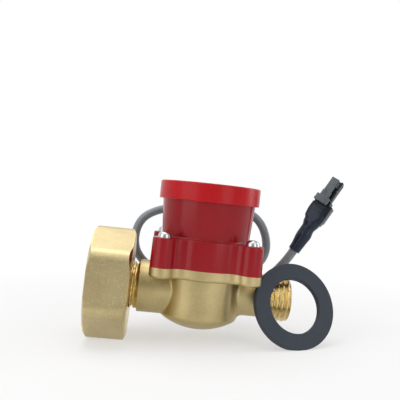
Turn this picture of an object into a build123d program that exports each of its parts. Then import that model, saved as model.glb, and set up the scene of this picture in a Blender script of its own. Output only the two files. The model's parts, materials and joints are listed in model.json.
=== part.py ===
import os
from math import cos, pi, radians, sin, sqrt, tan

from build123d import *

os.makedirs("parts", exist_ok=True)

# The pipe axis is X with the outlet at +X, the chamber axis is Z with the cup on top.
# The origin is where both axes cross. All sizes are in millimetres.

# clearances
screw_gap = 0.03
running_gap = 0.05
slip_gap = 0.1

# pipe threads, taken as plain walls
half_inch_thread_d = 20.955
nut_thread_minor_d = 38.95

# brass body
waterway_d = 14.0
outlet_end_x = 40.6
outlet_thread_length = 13.0
outlet_waist_depth = 1.13
outlet_fillet = 3.0
thread_chamfer = 0.6
inlet_step = 1.32
inlet_shoulder_x = -28.1
inlet_fillet = 2.0
chamber_r = 17.8
chamber_wall = 3.3
dome_bottom_z = -17.0
dome_r = 30.0
dome_edge_fillet = 2.5
flange_bottom_z = 7.0
flange_thickness = 4.4
flange_edge_fillet = 1.3
seat_margin = 0.4

# lobed outline shared by the flange and the cup's base
middle_r = 22.1
lobe_r = 5.2
lobe_sink = 0.571
lobe_blend_r = 5.0

# seal between flange and cup
seal_land = 1.4
seal_width = 2.2
seal_height = 1.6

# swivel nut
nut_gap = 3.6
nut_length = 18.4
nut_wall = 3.125
nut_corner_fillet = 6.5
nut_corner_turned = 0.04
nut_end_bevel = 1.9
nut_turn = -6.0
nut_back_wall = 4.0
nut_mouth_chamfer = 1.2
nut_relief_depth = 0.7
nut_relief_margin = 0.4

# split ring that keeps the nut on the neck
ring_thickness = 1.5
ring_axial_play = 0.4
ring_stand_out = 2.42
ring_groove_depth = 0.9
ring_land = 1.3
ring_split = 3.0

# loose washer, placed by the middle of its back
washer_outer_r = 19.25
washer_inner_r = 12.13
washer_thickness = 3.0
washer_x = 41.19
washer_z = -1.81
washer_yaw = 14.6
washer_lean = 22.9
washer_gap = 0.62
washer_edge = 0.3

# red cup
base_height = 12.8
base_draft = 1.2
neck_step = 2.1
neck_flare = 1.2
neck_height = 16.55
cup_floor = 4.0
cup_wall = 2.4
neck_root_fillet = 0.6
base_top_fillet = 0.7

# lid
lid_lip = 1.7
lid_height = 8.15
lid_wall = 2.4
lid_spigot_depth = 3.0
lid_spigot_wall = 1.6
lid_top_fillet = 0.8
lid_bottom_fillet = 0.4

# cover screws, M3 pan heads
screw_d = 3.0
screw_head_d = 5.9
screw_head_height = 2.4
screw_length = 16.0
screw_head_dome = 1.1

# paddle group
bracket_thickness = 1.8
bracket_window_length = 14.0
ear_inner_y = 5.5
ear_thickness = 2.5
ear_width = 6.0
pin_z = 3.0
pin_r = 1.2
paddle_hub_r = 2.8
paddle_head_width = 6.0
paddle_head_gap = 1.2
paddle_side_gap = 5.5
paddle_tip_gap = 1.9
paddle_end_gap = 0.3
paddle_shoulder_gap = 0.5
paddle_plate = 1.6
paddle_corner_r = 7.5
paddle_rib = 2.0
magnet_r = 2.0
magnet_length = 3.6

# circuit board
board_gap = 1.2
board_thickness = 1.6
post_height = 5.0
post_inset = 3.8
post_r = 2.7
board_screw_r = 1.1
board_screw_head_r = 2.0
board_screw_head_height = 1.3
board_screw_length = 5.4

# reed switch under the board
reed_r = 1.25
reed_length = 13.0
reed_gap = 0.8
reed_drop = 2.2
reed_lead_r = 0.3
reed_lead_run = 2.1
lead_stub = 0.8

# parts on top of the board
triac_width = 10.0
triac_body = 3.2
triac_height = 8.8
triac_stand = 3.2
triac_tab = 1.3
triac_tab_height = 15.0
triac_tab_hole_r = 1.8
triac_gap = 3.2
triac_leg = 0.7
triac_pitch = 2.54
capacitor_length = 13.0
capacitor_thickness = 5.0
capacitor_height = 10.5
capacitor_gap = 0.5
capacitor_y = 3.5
capacitor_pitch = 10.0
resistor_r = 1.2
resistor_length = 6.5
resistor_gap = 1.8
resistor_spacing = 3.6
resistor_y = 3.5
resistor_lead_span = 10.0
part_lead_r = 0.35

# grommet and inner wires at the back of the cup
grommet_rise = 2.8
grommet_pad_r = 5.2
grommet_pad_rise = 2.1
grommet_body_r = 3.6
grommet_flange_r = 4.7
grommet_flange = 1.3
grommet_nose_r = 3.3
grommet_lip = 0.575
grommet_nose_length = 6.9
wire_r = 0.8
wire_spacing = 2.1
wire_board_y = 12.0
wire_bend_r = 3.5

# cord
cord_d = 4.25
cord_last_run = 8.4

# sleeve and plug, along the plug's axis from the sleeve's lower end
plug_tilt = 60.5
plug_roll = 30.0
sleeve_start = (45.5, 16.0, 21.6)
sleeve_wall = 0.825
sleeve_waist_at = 9.0
sleeve_waist_d = 7.2
sleeve_shoulder_at = 18.0
sleeve_grip = 7.0
sleeve_film = 0.4
sleeve_corner_r = 1.6
plug_inset = 1.0
plug_length = 21.5
plug_width = 8.8
plug_depth = 5.8
plug_shift = 0.8
plug_corner_r = 0.7
shroud_wall = 1.1
shroud_length = 8.5
shroud_slot = 2.4
shroud_slot_length = 6.0
contact_r = 0.5
contact_spacing = 2.5
contact_free = 7.0
latch_width = 6.0
latch_length = 13.9
latch_thickness = 1.1
latch_top_rise = 2.35
latch_thumb_length = 3.4
latch_thumb_width = 7.2
latch_thumb_rise = 0.8
latch_pivot_inset = 2.7
latch_pivot_rise = 0.95
latch_axle_r = 0.6
latch_foot_width = 4.0
latch_foot_length = 2.4
latch_ear_width = 0.9
latch_ear_length = 3.0
latch_ear_rise = 0.85

# sizes that follow: body
thread_r = half_inch_thread_d / 2
waterway_r = waterway_d / 2
outlet_waist_r = thread_r - outlet_waist_depth
outlet_thread_start_x = outlet_end_x - outlet_thread_length
inlet_stub_r = thread_r + inlet_step
chamber_bore_r = chamber_r - chamber_wall
dome_centre_z = dome_bottom_z + dome_r
flange_top_z = flange_bottom_z + flange_thickness
seal_inner_r = chamber_bore_r + seal_land
screw_offset = (middle_r + lobe_r - lobe_sink) / sqrt(2)

# nut and its ring
nut_right_x = inlet_shoulder_x - nut_gap
nut_left_x = nut_right_x - nut_length
nut_thread_r = nut_thread_minor_d / 2
nut_across_flats = nut_thread_minor_d + 2 * nut_wall
nut_corner_reach = (nut_across_flats / 2 - nut_corner_fillet) / cos(radians(30)) + nut_corner_fillet
nut_ridge_r = nut_corner_reach - nut_corner_turned
ring_right_x = nut_right_x - nut_back_wall - ring_axial_play
ring_left_x = ring_right_x - ring_thickness
ring_groove_r = thread_r - ring_groove_depth
ring_outer_r = thread_r + ring_stand_out
neck_end_x = ring_left_x - ring_land

# cup and lid
base_top_z = flange_top_z + base_height
cup_floor_z = flange_top_z + cup_floor
neck_bottom_r = middle_r - neck_step
neck_top_r = neck_bottom_r + neck_flare
neck_top_z = base_top_z + neck_height
neck_slope = neck_flare / neck_height
cavity_r = neck_bottom_r - cup_wall
cavity_top_r = neck_top_r - cup_wall
lid_r = neck_top_r + lid_lip
lid_top_z = neck_top_z + lid_height

# paddle
hub_y = ear_inner_y - paddle_end_gap
head_top_z = flange_top_z - paddle_head_gap
tip_z = dome_bottom_z + chamber_wall + paddle_tip_gap
paddle_width = 2 * (chamber_bore_r - paddle_side_gap)
plate_top_z = pin_z - ear_width / 2 - paddle_shoulder_gap

# board and what is on it
board_r = cavity_r - board_gap
board_bottom_z = cup_floor_z + post_height
board_top_z = board_bottom_z + board_thickness
post_x = board_r - post_inset
capacitor_x = post_x - board_screw_head_r - capacitor_gap - capacitor_thickness / 2
resistor_first_x = board_screw_head_r + resistor_gap + resistor_r - post_x
reed_y = capacitor_y - capacitor_length / 2 - reed_gap
reed_z = board_bottom_z - reed_drop
reed_lead_x = reed_length / 2 + reed_lead_run
triac_y = reed_y - triac_gap

# grommet and lead
grommet_z = base_top_z + grommet_rise
grommet_pad_y = neck_bottom_r + grommet_pad_rise
grommet_tip_y = grommet_pad_y + grommet_nose_length
grommet_tip_r = cord_d / 2 + grommet_lip
grommet_bore_r = wire_r + running_gap
cord_points = [
    (0, grommet_tip_y, grommet_z),
    (0, 44, 27),
    (8, 54, 20.5),
    (23.5, 53, 10.5),
    (34, 41, 9),
    (35.5, 29, 22),
    (28.5, 28, 36.5),
    (12, 35.5, 40.5),
    (-6, 42, 37),
    (-22, 39, 35),
    (-33, 30, 28),
    (-33.5, 28, 12),
    (-20, 32.5, 1.5),
    (-1, 34, -3.5),
    (18, 30, -3),
    (33, 21, 4),
]

# sleeve, plug and latch
sleeve_cord_d = cord_d + 2 * sleeve_wall
plug_rear_at = sleeve_shoulder_at + plug_inset
plug_front_at = plug_rear_at + plug_length
sleeve_end_at = plug_rear_at + sleeve_grip
latch_rear_at = plug_front_at - latch_length
latch_pivot_at = plug_front_at - latch_pivot_inset
latch_pivot_height = plug_depth / 2 + latch_pivot_rise
latch_top = latch_pivot_height + latch_top_rise
latch_ear_top = latch_pivot_height + latch_ear_rise


def dome_height(radius, wall):
    return dome_centre_z - sqrt((dome_r - wall) ** 2 - radius**2)


def chamber_profile(radius, wall, top):
    # half section of the chamber or of its hollow, turned about Z
    with BuildSketch(Plane.XZ) as section:
        with BuildLine():
            low = (0, dome_height(0, wall))
            edge = (radius, dome_height(radius, wall))
            ThreePointArc(low, (radius / 2, dome_height(radius / 2, wall)), edge)
            Polyline(edge, (radius, top), (0, top), low)
        make_face()
        corner = section.vertices().sort_by_distance(edge)[0]
        fillet(corner, dome_edge_fillet - wall / 2)
    return section.sketch


def lobed_outline(height):
    # round middle with four screw lobes, blended by concave arcs
    with BuildSketch(Plane.XY.offset(height)) as outline:
        Circle(middle_r)
        with GridLocations(2 * screw_offset, 2 * screw_offset, 2, 2):
            Circle(lobe_r)
        inner = [v for v in outline.vertices() if v.center().length < middle_r + running_gap]
        fillet(inner, lobe_blend_r)
    return outline.sketch


def ring_of(plane, outer, inner, start, end):
    # plain ring between two heights along a plane's normal
    with BuildPart() as ring:
        with BuildSketch(plane.offset(start)):
            Circle(outer)
            Circle(inner, mode=Mode.SUBTRACT)
        extrude(amount=end - start)
    return ring.part


def bent_lead(points, radius, bend):
    # round wire along straight runs with rounded corners
    with BuildPart() as lead:
        with BuildLine() as route:
            FilletPolyline(*points, radius=bend)
        with BuildSketch(Plane(origin=route.line @ 0, z_dir=route.line % 0)):
            Circle(radius)
        sweep(path=route.line)
    return lead.part


def save(part, name):
    part.label = name
    export_step(part, "parts/" + name + ".step")


def on_stub(edge, radius, side):
    # true where an edge lies on a stub's round wall, on the side given
    spots = [edge @ share for share in (0, 0.25, 0.5, 0.75, 1)]
    return all(abs(sqrt(p.Y**2 + p.Z**2) - radius) < running_gap and side * p.X > 0 for p in spots)


# flange of the brass body, its lower edge rounded
with BuildPart() as flange:
    extrude(lobed_outline(flange_bottom_z), amount=flange_thickness)
    fillet(flange.faces().sort_by(Axis.Z)[0].edges(), flange_edge_fillet)

# brass body
with BuildPart() as valve_body:
    revolve(chamber_profile(chamber_r, 0, inlet_stub_r + inlet_fillet), axis=Axis.Z)
    # plain stubs about the pipe axis, blended into the chamber
    with BuildSketch(Plane.YZ):
        Circle(inlet_stub_r)
    extrude(amount=inlet_shoulder_x)
    with BuildSketch(Plane.YZ):
        Circle(outlet_waist_r)
    extrude(amount=outlet_thread_start_x)
    inlet_joint = [
        e
        for e in valve_body.edges()
        if on_stub(e, inlet_stub_r, -1) and (e @ 0).X > inlet_shoulder_x + inlet_fillet
    ]
    fillet(inlet_joint, inlet_fillet)
    outlet_joint = [
        e
        for e in valve_body.edges()
        if on_stub(e, outlet_waist_r, 1) and (e @ 0).X < outlet_thread_start_x - outlet_fillet
    ]
    fillet(outlet_joint, outlet_fillet)
    # threaded outlet end and inlet neck, turned about the pipe axis
    with BuildSketch(Plane.XZ):
        with BuildLine():
            Polyline(
                (chamber_r, 0),
                (chamber_r, outlet_waist_r),
                (outlet_thread_start_x - outlet_waist_depth, outlet_waist_r),
                (outlet_thread_start_x, thread_r),
                (outlet_end_x - thread_chamfer, thread_r),
                (outlet_end_x, thread_r - thread_chamfer),
                (outlet_end_x, 0),
                close=True,
            )
        make_face()
        with BuildLine():
            Polyline(
                (-chamber_r, 0),
                (neck_end_x, 0),
                (neck_end_x, thread_r - thread_chamfer),
                (neck_end_x + thread_chamfer, thread_r),
                (-chamber_r, thread_r),
                close=True,
            )
        make_face()
    revolve(axis=Axis.X)
    add(flange.part)
    # hollow chamber, waterway, seal groove and tapped holes
    revolve(chamber_profile(chamber_bore_r, chamber_wall, flange_top_z), axis=Axis.Z, mode=Mode.SUBTRACT)
    with BuildSketch(Plane.YZ.offset(neck_end_x)):
        Circle(waterway_r)
    extrude(amount=outlet_end_x - neck_end_x, mode=Mode.SUBTRACT)
    with BuildSketch(Plane.XY.offset(flange_top_z - seal_height)):
        Circle(seal_inner_r + seal_width)
        Circle(seal_inner_r, mode=Mode.SUBTRACT)
    extrude(amount=seal_height, mode=Mode.SUBTRACT)
    with BuildSketch(Plane.XY.offset(flange_bottom_z)):
        with GridLocations(2 * screw_offset, 2 * screw_offset, 2, 2):
            Circle(screw_d / 2 + screw_gap)
    extrude(amount=flange_top_z - flange_bottom_z, mode=Mode.SUBTRACT)
    # flat seat for the cup across the tops of chamber and stubs
    with BuildSketch(Plane.XY.offset(flange_top_z)):
        Circle(middle_r + seat_margin)
    extrude(amount=inlet_stub_r, mode=Mode.SUBTRACT)
    # groove for the split ring
    add(ring_of(Plane.YZ, thread_r + 1, ring_groove_r, ring_left_x, ring_right_x), mode=Mode.SUBTRACT)
save(valve_body.part, "valve_body")

# swivel nut, turned about the pipe axis
with BuildPart() as union_nut:
    with BuildSketch(Plane.YZ.offset(nut_left_x)) as hexagon:
        RegularPolygon(nut_across_flats / 2, 6, major_radius=False, rotation=90 + nut_turn)
        fillet(hexagon.vertices(), nut_corner_fillet)
    extrude(amount=nut_right_x - nut_left_x)
    # both ends are bevelled by one turned outline
    with BuildSketch(Plane.XZ):
        with BuildLine():
            bevel_run = nut_end_bevel * tan(radians(30))
            Polyline(
                (nut_left_x, 0),
                (nut_left_x, nut_ridge_r - nut_end_bevel),
                (nut_left_x + bevel_run, nut_ridge_r),
                (nut_right_x - bevel_run, nut_ridge_r),
                (nut_right_x, nut_ridge_r - nut_end_bevel),
                (nut_right_x, 0),
                close=True,
            )
        make_face()
    revolve(axis=Axis.X, mode=Mode.INTERSECT)
    # threaded mouth and the hole that turns on the neck
    with BuildSketch(Plane.XZ):
        with BuildLine():
            Polyline(
                (nut_left_x, 0),
                (nut_left_x, nut_thread_r + nut_mouth_chamfer),
                (nut_left_x + nut_mouth_chamfer, nut_thread_r),
                (neck_end_x - nut_relief_margin, nut_thread_r),
                (neck_end_x - nut_relief_margin, nut_thread_r + nut_relief_depth),
                (nut_right_x - nut_back_wall, nut_thread_r + nut_relief_depth),
                (nut_right_x - nut_back_wall, thread_r + running_gap),
                (nut_right_x, thread_r + running_gap),
                (nut_right_x, 0),
                close=True,
            )
        make_face()
    revolve(axis=Axis.X, mode=Mode.SUBTRACT)
save(union_nut.part, "union_nut")

# split ring in the neck's groove, against the groove's inlet side
with BuildPart() as nut_retaining_ring:
    add(ring_of(Plane.YZ, ring_outer_r, ring_groove_r + screw_gap, ring_left_x, ring_right_x - screw_gap))
    with BuildSketch(Plane.XY.offset(-ring_outer_r - 1)):
        with Locations((ring_left_x, 0)):
            Rectangle(2 * ring_outer_r, ring_split)
    extrude(amount=ring_outer_r + 1, mode=Mode.SUBTRACT)
save(nut_retaining_ring.part, "nut_retaining_ring")

# washer that leans on the outlet, its front turned to the viewer
face_normal = Vector(
    sin(radians(washer_yaw)) * cos(radians(washer_lean)),
    -cos(radians(washer_yaw)) * cos(radians(washer_lean)),
    sin(radians(washer_lean)),
)
# its back leans on the outlet's thread beside the left edge of the hole
lean = sqrt(1 - face_normal.X**2)
back_offset = lean * (thread_r - washer_inner_r * face_normal.X) + washer_gap
washer_y = (back_offset - face_normal.Z * washer_z) / face_normal.Y
washer_plane = Plane(origin=(washer_x, washer_y, washer_z), x_dir=(1, 0, 0), z_dir=face_normal)
with BuildPart() as sealing_washer:
    add(ring_of(washer_plane, washer_outer_r, washer_inner_r, 0, washer_thickness))
    chamfer(sealing_washer.edges().filter_by(GeomType.CIRCLE), washer_edge)
save(sealing_washer.part, "sealing_washer")

# rubber ring between flange and cup
with BuildPart() as chamber_seal:
    add(
        ring_of(
            Plane.XY,
            seal_inner_r + seal_width - slip_gap,
            seal_inner_r + slip_gap,
            flange_top_z - seal_height,
            flange_top_z,
        )
    )
save(chamber_seal.part, "chamber_seal")

# red cup: drafted lobed base, flared neck and hollow
with BuildPart() as switch_housing:
    extrude(lobed_outline(flange_top_z), amount=base_height, taper=base_draft)
    top_edges = switch_housing.faces().sort_by(Axis.Z)[-1].edges()
    fillet(top_edges, base_top_fillet)
    with BuildSketch(Plane.XZ):
        with BuildLine():
            Polyline(
                (0, base_top_z - base_top_fillet),
                (neck_bottom_r, base_top_z - base_top_fillet),
                (neck_bottom_r, base_top_z),
                (neck_top_r, neck_top_z),
                (0, neck_top_z),
                close=True,
            )
        make_face()
    revolve(axis=Axis.Z)
    neck_root = [
        e
        for e in switch_housing.edges().filter_by(GeomType.CIRCLE)
        if abs(e.radius - neck_bottom_r) < running_gap and abs((e @ 0).Z - base_top_z) < running_gap
    ]
    fillet(neck_root, neck_root_fillet)
    # pad at the back where the lead leaves
    with BuildSketch(Plane.XZ.offset(-neck_bottom_r + cup_wall)):
        with Locations((0, grommet_z)):
            Circle(grommet_pad_r)
    extrude(amount=-(grommet_pad_y - neck_bottom_r + cup_wall))
    # hollow of the cup
    with BuildSketch(Plane.XZ):
        with BuildLine():
            Polyline(
                (0, cup_floor_z),
                (cavity_r, cup_floor_z),
                (cavity_r, base_top_z),
                (cavity_top_r, neck_top_z),
                (0, neck_top_z),
                close=True,
            )
        make_face()
    revolve(axis=Axis.Z, mode=Mode.SUBTRACT)
    with BuildSketch(Plane.XY.offset(flange_top_z)):
        with GridLocations(2 * screw_offset, 2 * screw_offset, 2, 2):
            Circle(screw_d / 2 + slip_gap)
    extrude(amount=base_height, mode=Mode.SUBTRACT)
    # posts for the board with holes for its screws
    with BuildSketch(Plane.XY.offset(cup_floor_z)):
        with Locations((-post_x, 0), (post_x, 0)):
            Circle(post_r)
    extrude(amount=post_height)
    with BuildSketch(Plane.XY.offset(cup_floor_z)):
        with Locations((-post_x, 0), (post_x, 0)):
            Circle(board_screw_r + screw_gap)
    extrude(amount=post_height, mode=Mode.SUBTRACT)
    with BuildSketch(Plane.XZ.offset(-cavity_r + cup_wall)):
        with Locations((0, grommet_z)):
            Circle(grommet_body_r + slip_gap)
    extrude(amount=-(grommet_pad_y - cavity_r + 2 * cup_wall), mode=Mode.SUBTRACT)
save(switch_housing.part, "switch_housing")

# lid: hollow disc with a spigot that sits inside the cup
with BuildPart() as top_cap:
    spigot_r = cavity_top_r - neck_slope * lid_spigot_depth - running_gap
    with BuildSketch(Plane.XZ):
        with BuildLine():
            Polyline(
                (spigot_r - lid_spigot_wall, neck_top_z - lid_spigot_depth),
                (spigot_r, neck_top_z - lid_spigot_depth),
                (spigot_r, neck_top_z),
                (lid_r, neck_top_z),
                (lid_r, lid_top_z),
                (0, lid_top_z),
                (0, lid_top_z - lid_wall),
                (spigot_r - lid_spigot_wall, lid_top_z - lid_wall),
                close=True,
            )
        make_face()
    revolve(axis=Axis.Z)
    rims = top_cap.edges().filter_by(GeomType.CIRCLE).group_by(SortBy.RADIUS)[-1]
    fillet(rims.sort_by(Axis.Z)[-1], lid_top_fillet)
    rims = top_cap.edges().filter_by(GeomType.CIRCLE).group_by(SortBy.RADIUS)[-1]
    fillet(rims.sort_by(Axis.Z)[0], lid_bottom_fillet)
save(top_cap.part, "top_cap")


def pan_screw(shank_r, head_r, head_height, dome, length, seat):
    # screw along Z with a domed pan head, its seat at the given height
    crown_r = (head_r**2 + dome**2) / (2 * dome)
    crown_z = seat + head_height - crown_r
    with BuildPart() as screw:
        with BuildSketch(Plane.XZ):
            with BuildLine():
                Polyline(
                    (0, seat - length),
                    (shank_r - screw_gap, seat - length),
                    (shank_r, seat - length + shank_r / 4),
                    (shank_r, seat),
                    (head_r, seat),
                    (head_r, seat + head_height - dome),
                )
                ThreePointArc(
                    (head_r, seat + head_height - dome),
                    (head_r / 2, crown_z + sqrt(crown_r**2 - (head_r / 2) ** 2)),
                    (0, seat + head_height),
                )
                Line((0, seat + head_height), (0, seat - length))
            make_face()
        revolve(axis=Axis.Z)
    return screw.part


# four cover screws
with BuildPart() as cover_screws:
    with GridLocations(2 * screw_offset, 2 * screw_offset, 2, 2):
        add(pan_screw(screw_d / 2, screw_head_d / 2, screw_head_height, screw_head_dome, screw_length, base_top_z))
save(cover_screws.part, "cover_screws")

# carrier of the paddle's pin: disc under the cup with a window and two ears
with BuildPart() as paddle_bracket:
    with BuildSketch(Plane.XY.offset(flange_top_z - bracket_thickness)):
        Circle(chamber_bore_r - slip_gap)
        Rectangle(bracket_window_length, 2 * ear_inner_y, mode=Mode.SUBTRACT)
    extrude(amount=bracket_thickness)
    for side in (-1, 1):
        with BuildSketch(Plane.XZ.offset(-side * (ear_inner_y + ear_thickness / 2))):
            with Locations((0, (flange_top_z - bracket_thickness + pin_z) / 2)):
                Rectangle(ear_width, flange_top_z - bracket_thickness - pin_z)
            with Locations((0, pin_z)):
                Circle(ear_width / 2)
                Circle(pin_r + screw_gap, mode=Mode.SUBTRACT)
        extrude(amount=ear_thickness / 2, both=True)
save(paddle_bracket.part, "paddle_bracket")

# pin of the paddle
with BuildPart() as paddle_pin:
    with BuildSketch(Plane.XZ.offset(-ear_inner_y - ear_thickness)):
        with Locations((0, pin_z)):
            Circle(pin_r)
    extrude(amount=2 * (ear_inner_y + ear_thickness))
    chamfer(paddle_pin.edges().filter_by(GeomType.CIRCLE), pin_r / 5)
save(paddle_pin.part, "paddle_pin")

# paddle: hub on the pin, head with the magnet's pocket, round plate with a rib
with BuildPart() as flow_paddle:
    with BuildSketch(Plane.XZ.offset(-hub_y)):
        with Locations((0, pin_z)):
            Circle(paddle_hub_r)
    extrude(amount=2 * hub_y)
    with BuildSketch(Plane.XY.offset(pin_z)):
        RectangleRounded(paddle_head_width, paddle_head_width, paddle_head_width / 6)
    extrude(amount=head_top_z - pin_z)
    with BuildSketch(Plane.YZ.offset(-paddle_plate / 2)) as plate:
        with Locations((0, (plate_top_z + tip_z) / 2)):
            Rectangle(paddle_width, plate_top_z - tip_z)
        low_corners = plate.vertices().sort_by(Axis.Y)[:2]
        fillet(low_corners, paddle_corner_r)
        high_corners = plate.vertices().sort_by(Axis.Y)[-2:]
        fillet(high_corners, paddle_plate)
        with Locations((0, (pin_z + plate_top_z - paddle_hub_r) / 2)):
            Rectangle(2 * hub_y, pin_z - plate_top_z + paddle_hub_r)
    extrude(amount=paddle_plate)
    # rib down the plate's outlet side
    with BuildSketch(Plane.XZ.offset(-paddle_rib / 2)):
        with BuildLine():
            Polyline(
                (0, pin_z),
                (paddle_hub_r, pin_z),
                (paddle_plate, tip_z + paddle_corner_r / 2),
                (0, tip_z + paddle_corner_r / 2),
                close=True,
            )
        make_face()
    extrude(amount=paddle_rib)
    with BuildSketch(Plane.XZ.offset(-hub_y)):
        with Locations((0, pin_z)):
            Circle(pin_r + running_gap)
    extrude(amount=2 * hub_y, mode=Mode.SUBTRACT)
    with BuildSketch(Plane.XY.offset(head_top_z - magnet_length)):
        Circle(magnet_r + screw_gap)
    extrude(amount=magnet_length, mode=Mode.SUBTRACT)
save(flow_paddle.part, "flow_paddle")

# magnet in the paddle's head
with BuildPart() as paddle_magnet:
    with BuildSketch(Plane.XY.offset(head_top_z - magnet_length)):
        Circle(magnet_r)
    extrude(amount=magnet_length)
    chamfer(paddle_magnet.edges().filter_by(GeomType.CIRCLE).sort_by(Axis.Z)[-1], magnet_r / 8)
save(paddle_magnet.part, "paddle_magnet")

# where leads pass the board
reed_holes = [(-reed_lead_x, reed_y), (reed_lead_x, reed_y)]
wire_holes = [(-wire_spacing / 2, wire_board_y), (wire_spacing / 2, wire_board_y)]
triac_holes = [(step * triac_pitch, triac_y) for step in (-1, 0, 1)]
capacitor_holes = [(capacitor_x, capacitor_y + step * capacitor_pitch / 2) for step in (-1, 1)]
resistor_holes = [
    (resistor_first_x + row * resistor_spacing, resistor_y + step * resistor_lead_span / 2)
    for row in (0, 1)
    for step in (-1, 1)
]

# round board on the two posts
with BuildPart() as circuit_board:
    with BuildSketch(Plane.XY.offset(board_bottom_z)):
        Circle(board_r)
        with Locations((-post_x, 0), (post_x, 0)):
            Circle(board_screw_r + slip_gap, mode=Mode.SUBTRACT)
        with Locations(*reed_holes):
            Circle(reed_lead_r + slip_gap, mode=Mode.SUBTRACT)
        with Locations(*wire_holes):
            Circle(wire_r + slip_gap, mode=Mode.SUBTRACT)
        with Locations(*triac_holes):
            Rectangle(triac_leg + 2 * slip_gap, triac_leg + 2 * slip_gap, mode=Mode.SUBTRACT)
        with Locations(*capacitor_holes, *resistor_holes):
            Circle(part_lead_r + slip_gap, mode=Mode.SUBTRACT)
    extrude(amount=board_thickness)
save(circuit_board.part, "circuit_board")

# two screws that hold the board
with BuildPart() as board_screws:
    with Locations((-post_x, 0), (post_x, 0)):
        add(
            pan_screw(
                board_screw_r,
                board_screw_head_r,
                board_screw_head_height,
                board_screw_head_height / 2,
                board_screw_length,
                board_top_z,
            )
        )
save(board_screws.part, "board_screws")

# reed switch: glass tube with round ends and bent leads up through the board
with BuildPart() as reed_switch:
    with BuildSketch(Plane.YZ.offset(-reed_length / 2)):
        with Locations((reed_y, reed_z)):
            Circle(reed_r)
    extrude(amount=reed_length)
    fillet(reed_switch.edges().filter_by(GeomType.CIRCLE), reed_r * 0.8)
    for side in (-1, 1):
        inner_end = (side * (reed_length / 2 - reed_r), reed_y, reed_z)
        elbow = (side * reed_lead_x, reed_y, reed_z)
        upper_end = (side * reed_lead_x, reed_y, board_top_z + lead_stub)
        add(bent_lead((inner_end, elbow, upper_end), reed_lead_r, 2 * reed_lead_r))
save(reed_switch.part, "reed_switch")

# triac: moulded body, metal tab behind it and three legs
with BuildPart() as triac:
    with BuildSketch(Plane.XY.offset(board_top_z + triac_stand)):
        with Locations((0, triac_y)):
            Rectangle(triac_width, triac_body)
    extrude(amount=triac_height)
    with BuildSketch(Plane.XZ.offset(-triac_y + triac_body / 2)) as tab:
        with Locations((0, board_top_z + triac_stand + triac_tab_height / 2)):
            Rectangle(triac_width, triac_tab_height)
        chamfer(tab.vertices().sort_by(Axis.Y)[-2:], triac_tab)
        with Locations((0, board_top_z + triac_stand + triac_tab_height - 2 * triac_tab_hole_r)):
            Circle(triac_tab_hole_r, mode=Mode.SUBTRACT)
    extrude(amount=triac_tab)
    with BuildSketch(Plane.XY.offset(board_bottom_z - lead_stub)):
        with Locations(*triac_holes):
            Rectangle(triac_leg, triac_leg)
    extrude(amount=board_thickness + lead_stub + triac_stand)
save(triac.part, "triac")

# film capacitor standing on the board
with BuildPart() as capacitor:
    with BuildSketch(Plane.XY.offset(board_top_z)):
        with Locations((capacitor_x, capacitor_y)):
            RectangleRounded(capacitor_thickness, capacitor_length, capacitor_thickness / 8)
    extrude(amount=capacitor_height)
    fillet(capacitor.faces().sort_by(Axis.Z)[-1].edges(), capacitor_thickness / 10)
    with BuildSketch(Plane.XY.offset(board_bottom_z - lead_stub)):
        with Locations(*capacitor_holes):
            Circle(part_lead_r)
    extrude(amount=board_thickness + lead_stub)
save(capacitor.part, "capacitor")

# two resistors lying on the board, their leads bent down through it
with BuildPart() as resistors:
    for row in (0, 1):
        resistor_x = resistor_first_x + row * resistor_spacing
        resistor_z = board_top_z + resistor_r
        with BuildSketch(Plane.XZ.offset(-resistor_y - resistor_length / 2)):
            with Locations((resistor_x, resistor_z)):
                Circle(resistor_r)
        extrude(amount=resistor_length)
        for side in (-1, 1):
            inner_end = (resistor_x, resistor_y + side * (resistor_length / 2 - resistor_r), resistor_z)
            elbow = (resistor_x, resistor_y + side * resistor_lead_span / 2, resistor_z)
            lower_end = (resistor_x, resistor_y + side * resistor_lead_span / 2, board_bottom_z - lead_stub)
            add(bent_lead((inner_end, elbow, lower_end), part_lead_r, 2 * part_lead_r))
save(resistors.part, "resistors")

# two insulated wires from the board into the grommet, up to the lead's end
with BuildPart() as inner_wires:
    for side in (-1, 1):
        wire_x = side * wire_spacing / 2
        lower_end = (wire_x, wire_board_y, board_bottom_z - lead_stub)
        elbow = (wire_x, wire_board_y, grommet_z)
        outer_end = (wire_x, grommet_tip_y, grommet_z)
        add(bent_lead((lower_end, elbow, outer_end), wire_r, wire_bend_r))
save(inner_wires.part, "inner_wires")

# rubber grommet with two wire holes and a tapered nose
with BuildPart() as cable_grommet:
    inner_y = neck_bottom_r - cup_wall
    with BuildSketch(Plane.YZ):
        with BuildLine():
            Polyline(
                (inner_y, grommet_z),
                (inner_y, grommet_z + grommet_body_r),
                (grommet_pad_y, grommet_z + grommet_body_r),
                (grommet_pad_y, grommet_z + grommet_flange_r),
                (grommet_pad_y + grommet_flange, grommet_z + grommet_flange_r),
                (grommet_pad_y + grommet_flange, grommet_z + grommet_nose_r),
                (grommet_tip_y, grommet_z + grommet_tip_r),
                (grommet_tip_y, grommet_z),
                close=True,
            )
        make_face()
    revolve(axis=Axis((0, 0, grommet_z), (0, 1, 0)))
    with BuildSketch(Plane.XZ.offset(-inner_y)):
        with Locations((-wire_spacing / 2, grommet_z), (wire_spacing / 2, grommet_z)):
            Circle(grommet_bore_r)
    extrude(amount=inner_y - grommet_tip_y, mode=Mode.SUBTRACT)
save(cable_grommet.part, "cable_grommet")

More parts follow.
